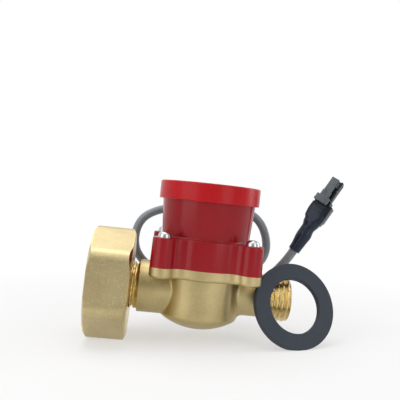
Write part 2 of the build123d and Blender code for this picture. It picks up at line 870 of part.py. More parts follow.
# lead: straight runs with tangent arcs, from the grommet's tip to the sleeve
plug_axis = Vector(cos(radians(plug_tilt)), 0, sin(radians(plug_tilt)))
last_corner = Vector(sleeve_start) - plug_axis * cord_last_run
cord_route = cord_points + [last_corner, sleeve_start]
cord_radii = []
for index in range(1, len(cord_route) - 1):
    before = Vector(cord_route[index - 1]) - Vector(cord_route[index])
    after = Vector(cord_route[index + 1]) - Vector(cord_route[index])
    half_turn = (180 - before.get_angle(after)) / 2
    cord_radii.append(0.45 * min(before.length, after.length) / tan(radians(half_turn)))
with BuildPart() as cord:
    with BuildLine() as cord_line:
        FilletPolyline(*cord_route, radius=cord_radii)
    with BuildSketch(Plane(origin=cord_line.line @ 0, z_dir=cord_line.line % 0)):
        Circle(cord_d / 2)
    sweep(path=cord_line.line)
save(cord.part, "cord")
print("last corner", [round(v, 3) for v in last_corner])
print("cord radii", [round(r, 1) for r in cord_radii])
cord_length = sum(edge.length for edge in cord_line.edges())
print("cord length", round(cord_length, 1))
print("cord volume over section by length", round(cord.part.volume / (cord_length * pi * cord_d**2 / 4), 4))

# plug frame: local Z along the plug, local Y out of the latch side, local X to the left
away = Vector(0, 1, 0)
across = plug_axis.cross(away)
latch_side = across * sin(radians(plug_roll)) - away * cos(radians(plug_roll))
plug_plane = Plane(origin=sleeve_start, x_dir=latch_side.cross(plug_axis), z_dir=plug_axis)


def plug_box(width, y_low, y_high, start, end, corner):
    # box in the plug's frame, from start to end along it
    with BuildPart() as block:
        with BuildSketch(plug_plane.offset(start)):
            with Locations((plug_shift, (y_low + y_high) / 2)):
                RectangleRounded(width, y_high - y_low, corner)
        extrude(amount=end - start)
    return block.part


# shrunk sleeve: round over the lead, flat over the plug's rear
with BuildPart() as cord_sleeve:
    with BuildSketch(plug_plane):
        Circle(sleeve_cord_d / 2)
    with BuildSketch(plug_plane.offset(sleeve_waist_at)):
        with Locations((plug_shift / 2, 0)):
            Circle(sleeve_waist_d / 2)
    loft(ruled=True)
    with BuildSketch(plug_plane.offset(sleeve_waist_at)):
        with Locations((plug_shift / 2, 0)):
            Circle(sleeve_waist_d / 2)
    with BuildSketch(plug_plane.offset(sleeve_shoulder_at)):
        with Locations((plug_shift, 0)):
            RectangleRounded(plug_width + 2 * sleeve_film, plug_depth + 2 * sleeve_film, sleeve_corner_r)
    loft()
    add(
        plug_box(
            plug_width + 2 * sleeve_film,
            -plug_depth / 2 - sleeve_film,
            plug_depth / 2 + sleeve_film,
            sleeve_shoulder_at,
            sleeve_end_at,
            sleeve_corner_r,
        )
    )
    add(
        plug_box(
            plug_width + 2 * screw_gap,
            -plug_depth / 2 - screw_gap,
            plug_depth / 2 + screw_gap,
            plug_rear_at,
            sleeve_end_at,
            plug_corner_r + screw_gap,
        ),
        mode=Mode.SUBTRACT,
    )
save(cord_sleeve.part, "cord_sleeve")

# plug: block with a shroud at its front, side slots and ears for the latch
with BuildPart() as connector_housing:
    add(plug_box(plug_width, -plug_depth / 2, plug_depth / 2, plug_rear_at, plug_front_at, plug_corner_r))
    add(
        plug_box(
            plug_width - 2 * shroud_wall,
            -plug_depth / 2 + shroud_wall,
            plug_depth / 2 - shroud_wall,
            plug_front_at - shroud_length,
            plug_front_at,
            plug_corner_r / 2,
        ),
        mode=Mode.SUBTRACT,
    )
    add(
        plug_box(
            plug_width + 1,
            -shroud_slot / 2,
            shroud_slot / 2,
            plug_front_at - shroud_slot_length,
            plug_front_at,
            plug_corner_r / 2,
        ),
        mode=Mode.SUBTRACT,
    )
    with BuildSketch(plug_plane.offset(latch_pivot_at - latch_ear_length / 2)):
        for side in (-1, 1):
            ear_x = plug_shift + side * (latch_foot_width / 2 + 2 * slip_gap + latch_ear_width / 2)
            with Locations((ear_x, (plug_depth / 2 - shroud_wall / 2 + latch_ear_top) / 2)):
                Rectangle(latch_ear_width, latch_ear_top - plug_depth / 2 + shroud_wall / 2)
    extrude(amount=latch_ear_length)
    pivot_origin = plug_plane.from_local_coords(Vector(plug_shift, latch_pivot_height, latch_pivot_at))
    pivot_plane = Plane(origin=pivot_origin, x_dir=plug_plane.z_dir, z_dir=plug_plane.x_dir)
    with BuildSketch(pivot_plane):
        Circle(latch_axle_r + running_gap)
    extrude(amount=plug_width / 2, both=True, mode=Mode.SUBTRACT)
save(connector_housing.part, "connector_housing")

# latch lever: plank with a raised thumb end, a foot and an axle
with BuildPart() as connector_latch:
    plank_low = latch_top - latch_thickness
    add(plug_box(latch_width, plank_low, latch_top, latch_rear_at, plug_front_at, latch_thickness / 4))
    add(
        plug_box(
            latch_thumb_width,
            plank_low,
            latch_top + latch_thumb_rise,
            latch_rear_at,
            latch_rear_at + latch_thumb_length,
            latch_thickness / 4,
        )
    )
    add(
        plug_box(
            latch_foot_width,
            latch_pivot_height - latch_axle_r,
            plank_low + latch_thickness / 2,
            latch_pivot_at - latch_foot_length / 2,
            latch_pivot_at + latch_foot_length / 2,
            latch_thickness / 4,
        )
    )
    with BuildSketch(pivot_plane):
        Circle(latch_axle_r)
    extrude(amount=latch_foot_width / 2 + 2 * slip_gap + latch_ear_width, both=True)
save(connector_latch.part, "connector_latch")

# two contact pins from the block's face into the shroud
with BuildPart() as connector_contacts:
    with BuildSketch(plug_plane.offset(plug_front_at - shroud_length)):
        for side in (-1, 1):
            with Locations((plug_shift + side * contact_spacing / 2, 0)):
                Circle(contact_r)
    extrude(amount=contact_free)
    tips = connector_contacts.faces().filter_by(lambda f: f.normal_at().dot(plug_axis) > 0.99)
    chamfer(tips.edges(), contact_r / 2)
save(connector_contacts.part, "connector_contacts")

pivot_axis = plug_plane.x_dir
print("latch pivot", [round(v, 3) for v in pivot_origin])
print("latch axis", [round(v, 5) for v in pivot_axis])
print("washer face normal", [round(v, 5) for v in face_normal])
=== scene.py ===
import json
import math

import bmesh
import bpy
from mathutils import Matrix, Vector, noise


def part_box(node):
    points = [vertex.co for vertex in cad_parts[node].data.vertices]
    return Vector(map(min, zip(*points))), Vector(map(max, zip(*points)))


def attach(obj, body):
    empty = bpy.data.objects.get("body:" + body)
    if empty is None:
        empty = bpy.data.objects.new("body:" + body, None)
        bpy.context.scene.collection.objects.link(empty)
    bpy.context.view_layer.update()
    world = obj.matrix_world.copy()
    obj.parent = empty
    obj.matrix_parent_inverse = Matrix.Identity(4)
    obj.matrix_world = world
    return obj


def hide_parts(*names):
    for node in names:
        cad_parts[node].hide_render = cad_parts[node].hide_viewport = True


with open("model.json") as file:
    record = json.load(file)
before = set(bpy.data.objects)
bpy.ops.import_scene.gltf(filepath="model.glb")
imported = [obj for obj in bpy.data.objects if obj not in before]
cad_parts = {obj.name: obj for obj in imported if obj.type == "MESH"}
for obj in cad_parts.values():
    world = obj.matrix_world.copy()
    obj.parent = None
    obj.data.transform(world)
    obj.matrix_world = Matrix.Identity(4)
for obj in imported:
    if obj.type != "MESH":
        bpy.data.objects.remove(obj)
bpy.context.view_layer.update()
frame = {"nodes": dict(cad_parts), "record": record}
scene = bpy.context.scene
scene.view_settings.view_transform = "Standard"
print("frame loaded")


# helpers: objects in the scene, sockets that take arithmetic, and one method for every other node


def placed(name, data):
    piece = bpy.data.objects.new(name, data)
    scene.collection.objects.link(piece)
    return piece


def evaluatedMesh(piece):
    graph = bpy.context.evaluated_depsgraph_get()
    return bpy.data.meshes.new_from_object(piece.evaluated_get(graph))


class Sock:
    def __init__(self, owner, out):
        self.owner = owner
        self.out = out

    def calc(self, operation, first, second):
        return self.owner.add("ShaderNodeMath", {"operation": operation}, {0: first, 1: second})

    def __add__(self, other):
        return self.calc("ADD", self, other)

    def __sub__(self, other):
        return self.calc("SUBTRACT", self, other)

    def __rsub__(self, other):
        return self.calc("SUBTRACT", other, self)

    def __mul__(self, other):
        return self.calc("MULTIPLY", self, other)

    def __truediv__(self, other):
        return self.calc("DIVIDE", self, other)

    def __gt__(self, other):
        return self.calc("GREATER_THAN", self, other)

    def __lt__(self, other):
        return self.calc("LESS_THAN", self, other)

    def __pow__(self, other):
        return self.calc("POWER", self, other)

    __radd__ = __add__
    __rmul__ = __mul__


class NodeTree:
    def add(self, kind, settings=None, inputs=None, output=0):
        node = self.tree.nodes.new(kind)
        for key, value in (settings or {}).items():
            setattr(node, key, value)
        for key, value in (inputs or {}).items():
            self.feed(node.inputs[key], value)
        return Sock(self, node.outputs[output]) if node.outputs else None

    def feed(self, socket, value):
        if isinstance(value, Sock):
            self.tree.links.new(value.out, socket)
        elif isinstance(value, (tuple, list)) and socket.type == "RGBA":
            socket.default_value = (*value, 1)
        else:
            socket.default_value = value

    def largest(self, first, second):
        return self.add("ShaderNodeMath", {"operation": "MAXIMUM"}, {0: first, 1: second})

    def spread(self, value, low, high):
        inputs = {"Value": value, "From Min": low, "From Max": high}
        return self.add("ShaderNodeMapRange", {}, inputs)


class Shader(NodeTree):
    def __init__(self, name):
        self.material = bpy.data.materials.new(name)
        self.material.use_nodes = True
        self.tree = self.material.node_tree
        self.tree.nodes.clear()
        self.place = self.add("ShaderNodeTexCoord", output="Object")

    def axis(self, index):
        return self.add("ShaderNodeSeparateXYZ", {}, {"Vector": self.place}, index)

    def noise(self, scale, detail=3.0, roughness=0.5, stretch=(1, 1, 1)):
        where = self.add("ShaderNodeMapping", {}, {"Vector": self.place, "Scale": stretch})
        inputs = {"Vector": where, "Scale": scale, "Detail": detail, "Roughness": roughness}
        return self.add("ShaderNodeTexNoise", {}, inputs)

    def tint(self, factor, first, second):
        return self.add("ShaderNodeMix", {"data_type": "RGBA"}, {0: factor, 6: first, 7: second}, 2)

    def bump(self, height, distance, strength=1.0, normal=None):
        inputs = {"Height": height, "Distance": distance, "Strength": strength}
        if normal:
            inputs["Normal"] = normal
        return self.add("ShaderNodeBump", {}, inputs)

    def finish(self, colour, roughness, normal=None, **sockets):
        inputs = {"Base Color": colour, "Roughness": roughness}
        if normal:
            inputs["Normal"] = normal
        inputs.update({key.replace("_", " "): value for key, value in sockets.items()})
        return self.close(self.add("ShaderNodeBsdfPrincipled", {}, inputs))

    def close(self, surface):
        self.add("ShaderNodeOutputMaterial", {}, {"Surface": surface})
        return self.material


# a Geometry Nodes tree with named sizes, turned into a plain mesh when it is built


class Shape(NodeTree):
    def __init__(self, name, sizes):
        self.name = name
        self.values = sizes
        self.tree = bpy.data.node_groups.new(name, "GeometryNodeTree")
        self.tree.interface.new_socket("Geometry", in_out="OUTPUT", socket_type="NodeSocketGeometry")
        for label, value in sizes.items():
            kind = "NodeSocketInt" if isinstance(value, int) else "NodeSocketFloat"
            self.tree.interface.new_socket(label, in_out="INPUT", socket_type=kind)
        given = self.tree.nodes.new("NodeGroupInput")
        self.size = {label: Sock(self, given.outputs[label]) for label in sizes}

    def vector(self, x, y, z):
        return self.add("ShaderNodeCombineXYZ", {}, {0: x, 1: y, 2: z})

    def shift(self, geometry, move=(0, 0, 0), turn=(0, 0, 0), scale=(1, 1, 1)):
        inputs = {"Geometry": geometry, "Translation": move, "Rotation": turn, "Scale": scale}
        return self.add("GeometryNodeTransform", {}, inputs)

    def united(self, *parts):
        whole = self.tree.nodes.new("GeometryNodeMeshBoolean")
        whole.operation = "UNION"
        whole.solver = "EXACT"
        for part in parts:
            self.tree.links.new(part.out, whole.inputs["Mesh 2"])
        return Sock(self, whole.outputs[0])

    def without(self, whole, cutter):
        settings = {"operation": "DIFFERENCE", "solver": "EXACT"}
        return self.add("GeometryNodeMeshBoolean", settings, {"Mesh 1": whole, "Mesh 2": cutter})

    def build(self, geometry, material):
        whole = self.add("GeometryNodeRealizeInstances", {}, {"Geometry": geometry})
        whole = self.add("GeometryNodeSetMaterial", {}, {"Geometry": whole, "Material": material})
        result = self.tree.nodes.new("NodeGroupOutput")
        self.tree.links.new(whole.out, result.inputs["Geometry"])
        holder = placed(self.name, bpy.data.meshes.new(self.name))
        maker = holder.modifiers.new("maker", "NODES")
        maker.node_group = self.tree
        for item in self.tree.interface.items_tree:
            if item.in_out == "INPUT":
                maker[item.identifier] = self.values[item.name]
        mesh = evaluatedMesh(holder)
        bpy.data.objects.remove(holder)
        mesh.materials.clear()
        mesh.materials.append(material)
        return mesh


# camera at the photograph's place and angle

cameraSettings = {
    "place": (-0.02172, -0.25151, 0.04134),
    "yaw": -3.94,
    "pitch": 0.02,
    "roll": 6.09,
    "lens": 49.38,
}
cameraData = bpy.data.cameras.new("photoCamera")
cameraData.lens = cameraSettings["lens"]
cameraData.clip_start = 0.01
camera = placed("photoCamera", cameraData)
turn = Matrix.Rotation(math.radians(cameraSettings["yaw"]), 4, "Z")
turn = turn @ Matrix.Rotation(math.radians(90 + cameraSettings["pitch"]), 4, "X")
turn = turn @ Matrix.Rotation(math.radians(cameraSettings["roll"]), 4, "Z")
camera.matrix_world = Matrix.Translation(cameraSettings["place"]) @ turn
scene.camera = camera
print("camera placed")

# finishes


def grainedBrass(settings):
    # sand-blasted casting, with machined stretches turned bright where the lathe cut
    shader = Shader(settings["name"])
    blotch = shader.noise(55, 4, 0.6)
    speck = shader.noise(1100, 4, 0.65)
    pits = shader.noise(2600, 2, 0.7)
    cast = shader.tint(shader.spread(blotch, 0.35, 0.65), settings["dull"], settings["pale"])
    cast = shader.tint(shader.spread(speck, 0.53, 0.70) * settings["grain"], cast, settings["fleck"])
    along = shader.axis(0)
    turned = shader.noise(500, 3, 0.5, (7, 0.3, 0.3))
    low, high = settings["machined"]
    cut = shader.largest(along < low, along > high)
    colour = shader.tint(cut, cast, shader.tint(turned, settings["cutDark"], settings["cutBright"]))
    rough = {0: cut, 2: settings["rough"] + 0.20 * speck, 3: settings["cutRough"] + 0.10 * turned}
    rough = shader.add("ShaderNodeMix", {}, rough)
    normal = shader.bump(pits, 0.00003, settings["grain"] * (1 - cut))
    normal = shader.bump(speck, 0.00006, settings["grain"] * (1 - cut), normal)
    normal = shader.bump(turned, 0.00003, 0.45 * cut, normal)
    return shader.finish(colour, rough, normal, Metallic=1.0)


def mouldedPlastic(settings):
    shader = Shader(settings["name"])
    blotch = shader.noise(38, 3)
    grain = shader.noise(900, 2)
    flow = shader.noise(120, 2, 0.5, (1, 1, 0.25))
    colour = shader.tint(shader.spread(blotch, 0.3, 0.7), settings["base"], settings["shade"])
    normal = shader.bump(grain, 0.00004, 0.12)
    normal = shader.bump(flow, 0.00012, 0.18, normal)
    sockets = {
        "Coat_Weight": settings.get("coat", 0.0),
        "Coat_Roughness": 0.06,
        "Specular_IOR_Level": settings.get("gleam", 0.5),
    }
    return shader.finish(colour, settings["rough"] + 0.07 * flow, normal, **sockets)


def plainMetal(settings):
    shader = Shader(settings["name"])
    grain = shader.noise(900, 3, 0.6)
    colour = shader.tint(grain, tuple(0.85 * part for part in settings["base"]), settings["base"])
    normal = shader.bump(grain, 0.00003, 0.3)
    return shader.finish(colour, settings["rough"] + 0.1 * grain, normal, Metallic=1.0)


def mattRubber(settings):
    shader = Shader(settings["name"])
    blotch = shader.noise(90, 4, 0.6)
    grain = shader.noise(1500, 3)
    dust = shader.noise(420, 5, 0.75)
    colour = shader.tint(blotch, settings["base"], settings["shade"])
    dusty = tuple(2.2 * part for part in settings["shade"])
    colour = shader.tint(shader.spread(dust, 0.60, 0.80) * 0.5, colour, dusty)
    return shader.finish(colour, 0.55 + 0.2 * grain, shader.bump(grain, 0.0001, 0.35))


def greyJacket():
    shader = Shader("greyJacket")
    grain = shader.noise(900, 3)
    mottle = shader.noise(60, 2)
    colour = shader.tint(mottle, (0.172, 0.202, 0.222), (0.236, 0.270, 0.294))
    normal = shader.bump(grain, 0.0001, 0.25)
    return shader.finish(colour, 0.38 + 0.1 * mottle, normal)


brassSettings = {
    "body": {
        "name": "bodyBrass",
        "dull": (0.44, 0.352, 0.168),
        "pale": (0.53, 0.430, 0.220),
        "fleck": (0.70, 0.59, 0.34),
        "cutDark": (0.64, 0.500, 0.240),
        "cutBright": (0.84, 0.700, 0.390),
        "rough": 0.31,
        "cutRough": 0.23,
        "grain": 0.30,
        "machined": (-0.0282, 0.0266),
    },
    "nut": {
        "name": "nutBrass",
        "dull": (0.48, 0.390, 0.205),
        "pale": (0.57, 0.470, 0.262),
        "fleck": (0.78, 0.66, 0.38),
        "cutDark": (0.62, 0.46, 0.18),
        "cutBright": (0.78, 0.64, 0.30),
        "rough": 0.29,
        "cutRough": 0.23,
        "grain": 0.52,
        "machined": (-0.0495, -0.0323),
    },
}
plasticSettings = {
    # cup_red is the same red plastic as lid_red, set darker as painted shade from the lid's overhang
    # and from the dim room the cup reflects
    "cup_red": {
        "name": "cupRedPaintedShade",
        "base": (0.255, 0.004, 0.008),
        "shade": (0.295, 0.006, 0.011),
        "rough": 0.13,
        "gleam": 0.25,
    },
    "lid_red": {
        "name": "lidRed",
        "base": (0.41, 0.005, 0.008),
        "shade": (0.46, 0.008, 0.012),
        "rough": 0.24,
        "gleam": 0.20,
    },
    "bracket_plastic": {
        "name": "bracketPlastic",
        "base": (0.70, 0.69, 0.64),
        "shade": (0.76, 0.75, 0.70),
        "rough": 0.45,
    },
    "paddle_plastic": {
        "name": "paddlePlastic",
        "base": (0.74, 0.73, 0.68),
        "shade": (0.80, 0.79, 0.74),
        "rough": 0.45,
    },
    "board_green": {
        "name": "boardGreen",
        "base": (0.02, 0.16, 0.06),
        "shade": (0.03, 0.22, 0.09),
        "rough": 0.3,
        "coat": 0.3,
    },
    "reed_glass": {
        "name": "reedGlass",
        "base": (0.70, 0.78, 0.74),
        "shade": (0.80, 0.88, 0.84),
        "rough": 0.08,
        "coat": 0.5,
    },
    "triac_black": {
        "name": "triacBlack",
        "base": (0.02, 0.02, 0.02),
        "shade": (0.035, 0.035, 0.035),
        "rough": 0.45,
    },
    "capacitor_yellow": {
        "name": "capacitorYellow",
        "base": (0.66, 0.46, 0.06),
        "shade": (0.72, 0.52, 0.09),
        "rough": 0.3,
    },
    "resistor_glaze": {
        "name": "resistorGlaze",
        "base": (0.58, 0.45, 0.28),
        "shade": (0.66, 0.53, 0.35),
        "rough": 0.3,
    },
    "wire_insulation": {
        "name": "wireInsulation",
        "base": (0.20, 0.20, 0.22),
        "shade": (0.28, 0.28, 0.30),
        "rough": 0.45,
    },
    "sleeve_black": {
        "name": "sleeveBlack",
        "base": (0.012, 0.018, 0.033),
        "shade": (0.020, 0.028, 0.048),
        "rough": 0.12,
        "gleam": 0.22,
    },
    "plug_black": {
        "name": "plugBlack",
        "base": (0.009, 0.013, 0.018),
        "shade": (0.014, 0.019, 0.026),
        "rough": 0.26,
        "gleam": 0.20,
    },
    "latch_grey": {
        "name": "latchGrey",
        "base": (0.068, 0.082, 0.093),
        "shade": (0.093, 0.108, 0.120),
        "rough": 0.4,
    },
}
metalSettings = {
    "spring_steel": {"name": "springSteel", "base": (0.62, 0.62, 0.62), "rough": 0.3},
    "screw_chrome": {"name": "screwChrome", "base": (0.60, 0.60, 0.61), "rough": 0.16},
    "magnet_metal": {"name": "magnetMetal", "base": (0.35, 0.35, 0.37), "rough": 0.4},
    "contact_tin": {"name": "contactTin", "base": (0.75, 0.75, 0.74), "rough": 0.2},
}
rubberSettings = {
    "washer_rubber": {
        "name": "washerRubber",
        "base": (0.016, 0.023, 0.035),
        "shade": (0.026, 0.036, 0.051),
    },
    "seal_rubber": {
        "name": "sealRubber",
        "base": (0.02, 0.02, 0.02),
        "shade": (0.035, 0.035, 0.035),
    },
}
finishes = {
    "body_brass": grainedBrass(brassSettings["body"]),
    "nut_brass": grainedBrass(brassSettings["nut"]),
    "cord_grey": greyJacket(),
}
for maker, tables in (
    (mouldedPlastic, plasticSettings),
    (plainMetal, metalSettings),
    (mattRubber, rubberSettings),
):
    for slot, settings in tables.items():
        finishes[slot] = maker(settings)
for part in frame["record"]["subparts"]:
    mesh = frame["nodes"][part["node"]].data
    mesh.materials.clear()
    mesh.materials.append(finishes[part["material_slot"]])
print("finishes made")

# the cord

cordSettings = {
    "diameter": 0.00425,
    "length": 0.2720,
    "points": [
        (0, 0.029, 0.027),
        (0, 0.044, 0.027),
        (0.008, 0.054, 0.0205),
        (0.0235, 0.053, 0.0105),
        (0.034, 0.041, 0.009),
        (0.0355, 0.029, 0.022),
        (0.0285, 0.028, 0.0365),
        (0.012, 0.0355, 0.0405),
        (-0.006, 0.042, 0.037),
        (-0.022, 0.039, 0.035),
        (-0.033, 0.030, 0.028),
        (-0.0335, 0.028, 0.012),
        (-0.020, 0.0325, 0.0015),
        (-0.001, 0.034, -0.0035),
        (0.018, 0.030, -0.003),
        (0.033, 0.021, 0.004),
        (0.04136, 0.016, 0.01429),
        (0.0455, 0.016, 0.0216),
    ],
}


def cordCurve(settings):
    curve = bpy.data.curves.new("leadCord", "CURVE")
    curve.dimensions = "3D"
    spline = curve.splines.new("NURBS")
    spline.points.add(len(settings["points"]) - 1)
    for point, place in zip(spline.points, settings["points"]):
        point.co = (*place, 1)
    spline.order_u = 3
    spline.use_endpoint_u = True
    spline.resolution_u = 10
    curve.bevel_depth = settings["diameter"] / 2
    curve.bevel_resolution = 6
    curve.use_fill_caps = True
    return placed("leadCord", curve)


cord = cordCurve(cordSettings)
cord.data.materials.append(finishes["cord_grey"])
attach(cord, "body")
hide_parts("cord")
print("cord laid")

# real threads: a helical groove cut into a merged copy of the solid

threadSettings = {
    "outlet": {
        "from": 0.0280,
        "to": 0.0420,
        "radius": 0.0104775,
        "pitch": 0.002309,
        "depth": 0.00125,
        "inward": 1,
    },
    "neck": {
        "from": -0.0395,
        "to": -0.0289,
        "radius": 0.0104775,
        "pitch": 0.001814,
        "depth": 0.00105,
        "inward": 1,
    },
    "nut": {
        "from": -0.0520,
        "to": -0.0396,
        "radius": 0.019475,
        "pitch": 0.002309,
        "depth": 0.00140,
        "inward": -1,
    },
}
# shares of the pitch that the crest and the root take, and the share of the depth cut past the wall
grooveSettings = {"crest": 0.12, "root": 0.10, "over": 0.15, "pointsPerTurn": 40, "sharpFrom": 28}
mergeSettings = {"within": 2e-6, "dropUnder": 1e-7}


def threadCutter(name, settings):
    span = settings["to"] - settings["from"]
    sizes = {
        "Turns": span / settings["pitch"],
        "Pitch": settings["pitch"],
        "Radius": settings["radius"],
        "Depth": settings["depth"],
        "Crest": grooveSettings["crest"] * settings["pitch"],
        "Root": grooveSettings["root"] * settings["pitch"],
    }
    shape = Shape(name, sizes)
    size = shape.size
    spiral = {
        "Resolution": grooveSettings["pointsPerTurn"],
        "Rotations": size["Turns"],
        "Start Radius": size["Radius"],
        "End Radius": size["Radius"],
        "Height": size["Turns"] * size["Pitch"],
    }
    line = shape.add("GeometryNodeCurveSpiral", {}, spiral)
    line = shape.add("GeometryNodeSetCurveNormal", {"mode": "Z_UP"}, {"Curve": line})
    over = grooveSettings["over"] * size["Depth"]
    groove = {
        "Bottom Width": size["Pitch"] - size["Crest"],
        "Top Width": size["Root"],
        "Offset": 0.0,
        "Height": size["Depth"] + over,
    }
    section = shape.add("GeometryNodeCurvePrimitiveQuadrilateral", {"mode": "TRAPEZOID"}, groove)
    section = shape.shift(section, shape.vector(0, (size["Depth"] - over) * 0.5, 0))
    section = shape.shift(section, turn=(0, 0, -settings["inward"] * math.pi / 2))
    sweep = {"Curve": line, "Profile Curve": section, "Fill Caps": True}
    tool = shape.add("GeometryNodeCurveToMesh", {}, sweep)
    tool = shape.shift(tool, (settings["from"], 0, 0), (0, math.pi / 2, 0))
    return placed(name, shape.build(tool, finishes["body_brass"]))


def mergedCopy(node, name):
    mesh = frame["nodes"][node].data.copy()
    mesh.name = name
    shell = bmesh.new()
    shell.from_mesh(mesh)
    bmesh.ops.remove_doubles(shell, verts=shell.verts, dist=mergeSettings["within"])
    bmesh.ops.dissolve_degenerate(shell, edges=shell.edges, dist=mergeSettings["dropUnder"])
    shell.to_mesh(mesh)
    shell.free()
    return placed(name, mesh)


def smoothed(mesh, sharpFrom):
    mesh.shade_smooth()
    mesh.set_sharp_from_angle(angle=math.radians(sharpFrom))


def applied(piece):
    # the piece with its modifiers turned into its own mesh
    mesh = evaluatedMesh(piece)
    piece.modifiers.clear()
    piece.data = mesh


def cutThreads(node, name, cuts):
    piece = mergedCopy(node, name)
    for label in cuts:
        cutter = threadCutter(label + "Groove", threadSettings[label])
        cut = piece.modifiers.new(label, "BOOLEAN")
        cut.operation = "DIFFERENCE"
        cut.solver = "EXACT"
        cut.object = cutter
        applied(piece)
        bpy.data.objects.remove(cutter)
    smoothed(piece.data, grooveSettings["sharpFrom"])
    level = piece.modifiers.new("level", "WEIGHTED_NORMAL")
    level.keep_sharp = True
    applied(piece)
    return piece


body = cutThreads("valve_body", "threadedBody", ("outlet", "neck"))
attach(body, "body")
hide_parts("valve_body")
nut = cutThreads("union_nut", "threadedNut", ("nut",))
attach(nut, "nut")
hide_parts("union_nut")
print("threads cut")

# pan-head screws with a cross recess, one in each corner

screwSettings = {
    "cover_screws": {
        "head": 0.00295,
        "rise": 0.0024,
        "slot": 0.0008,
        "sink": 0.0013,
        "arm": 0.0019,
        "shank": 0.0015,
    },
    "board_screws": {
        "head": 0.0020,
        "rise": 0.0013,
        "slot": 0.0005,
        "sink": 0.0007,
        "arm": 0.0012,
        "shank": 0.0011,
    },
}
# how far the dome falls at its rim, how far the shank runs into the head, and each recess's turn
panHead = {"fall": 0.97, "overlap": 0.00005, "firstTurn": 0.35, "turnStep": 1.1, "sharpFrom": 35}


def solidSpots(node):
    # middle of each solid of a node, and the lowest and highest points
    low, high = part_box(node)
    middle = [(a + b) / 2 for a, b in zip(low, high)]
    groups = {}
    for point in frame["nodes"][node].data.vertices:
        spot = point.co
        groups.setdefault((spot.x > middle[0], spot.y > middle[1]), []).append(spot)
    places = []
    for group in groups.values():
        x = (min(p.x for p in group) + max(p.x for p in group)) / 2
        y = (min(p.y for p in group) + max(p.y for p in group)) / 2
        places.append((x, y))
    return places, low[2], high[2]


def crossScrews(name, node, settings):
    places, bottom, top = solidSpots(node)
    sizes = {
        "Head Radius": settings["head"],
        "Head Rise": settings["rise"],
        "Slot Width": settings["slot"],
        "Slot Depth": settings["sink"],
        "Slot Length": 2 * settings["arm"],
        "Shank Radius": settings["shank"],
        "Length": top - settings["rise"] - bottom,
    }
    shape = Shape(name, sizes)
    size = shape.size
    ball = shape.add("GeometryNodeMeshUVSphere", {}, {"Segments": 40, "Rings": 24, "Radius": 1.0})
    spot = shape.add("GeometryNodeInputPosition")
    parts = [shape.add("ShaderNodeSeparateXYZ", {}, {"Vector": spot}, index) for index in range(3)]
    out = parts[0] * parts[0] + parts[1] * parts[1]
    # a flat-topped dome over a flat underside
    dome = shape.largest(1 - out * out * panHead["fall"], 0.0) ** 0.5
    up = (parts[2] > 0.001) * dome * size["Head Rise"]
    place = shape.vector(parts[0] * size["Head Radius"], parts[1] * size["Head Radius"], up)
    head = shape.add("GeometryNodeSetPosition", {}, {"Geometry": ball, "Position": place})
    shank = {"Vertices": 24, "Radius": size["Shank Radius"], "Depth": size["Length"]}
    shank = shape.add("GeometryNodeMeshCylinder", {}, shank)
    shank = shape.shift(shank, shape.vector(0, 0, size["Length"] * -0.5 + panHead["overlap"]))
    whole = shape.united(head, shank)
    arms = (size["Slot Length"], size["Slot Width"])
    for long, wide in (arms, arms[::-1]):
        bar = {"Size": shape.vector(long, wide, size["Slot Depth"] * 2)}
        bar = shape.add("GeometryNodeMeshCube", {}, bar)
        bar = shape.shift(bar, shape.vector(0, 0, size["Head Rise"]))
        whole = shape.without(whole, bar)
    joined = shape.tree.nodes.new("GeometryNodeJoinGeometry")
    for index, (x, y) in enumerate(places):
        turn = panHead["firstTurn"] + panHead["turnStep"] * index
        screw = shape.shift(whole, (x, y, top - settings["rise"]), (0, 0, turn))
        shape.tree.links.new(screw.out, joined.inputs[0])
    mesh = shape.build(Sock(shape, joined.outputs[0]), finishes["screw_chrome"])
    smoothed(mesh, panHead["sharpFrom"])
    piece = placed(name, mesh)
    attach(piece, "body")
    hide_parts(node)


crossScrews("crossScrews", "cover_screws", screwSettings["cover_screws"])
crossScrews("boardScrews", "board_screws", screwSettings["board_screws"])
print("screws made")

# where the plug stands: the lead's end, how steeply it rises, and how far it faces the camera

plugPlace = {
    "start": cordSettings["points"][-1],
    "rise": math.radians(60.5),
    "facing": math.radians(30),
}
plugAxis = Vector((math.cos(plugPlace["rise"]), 0, math.sin(plugPlace["rise"])))
plugFront = Vector((-plugAxis.z, 0, plugAxis.x)) * math.sin(plugPlace["facing"])
plugFront = plugFront - Vector((0, math.cos(plugPlace["facing"]), 0))
plugSide = plugFront.cross(plugAxis)

# shrunk sleeve: round over the lead, drawn flat over the plug's rear, its end cut aslant

sleeveSettings = {
    # along, middle across, half width, half depth, squareness, hole half width, hole half depth
    "stations": [
        (0.0000, 0.0000, 0.00290, 0.00290, 2.0, 0.00218, 0.00218),
        (0.0016, 0.0000, 0.00300, 0.00298, 2.0, 0.00218, 0.00218),
        (0.0092, 0.0002, 0.00362, 0.00340, 2.0, 0.00218, 0.00218),
        (0.0130, 0.0005, 0.00335, 0.00310, 2.2, 0.00218, 0.00218),
        (0.0165, 0.0006, 0.00420, 0.00345, 2.6, 0.00240, 0.00240),
        (0.0188, 0.0008, 0.00492, 0.00342, 4.0, 0.00445, 0.00295),
        (0.0225, 0.0009, 0.00515, 0.00350, 5.0, 0.00445, 0.00295),
        (0.0262, 0.0009, 0.00495, 0.00340, 6.0, 0.00445, 0.00295),
    ],
    "slant": 0.0021,
    "slantFrom": 0.0165,
    "wrinkle": 0.0001,
    "wrinklesAcross": 420,
    "wrinklesAlong": 260,
    "calmEnd": 0.008,
    "rings": 96,
    "around": 64,
    "sharpFrom": 50,
}


def stationAt(stations, along):
    for first, second in zip(stations, stations[1:]):
        if along <= second[0]:
            share = max(0.0, (along - first[0]) / (second[0] - first[0]))
            share = share * share * (3 - 2 * share)
            return [a + (b - a) * share for a, b in zip(first, second)]
    return list(stations[-1])


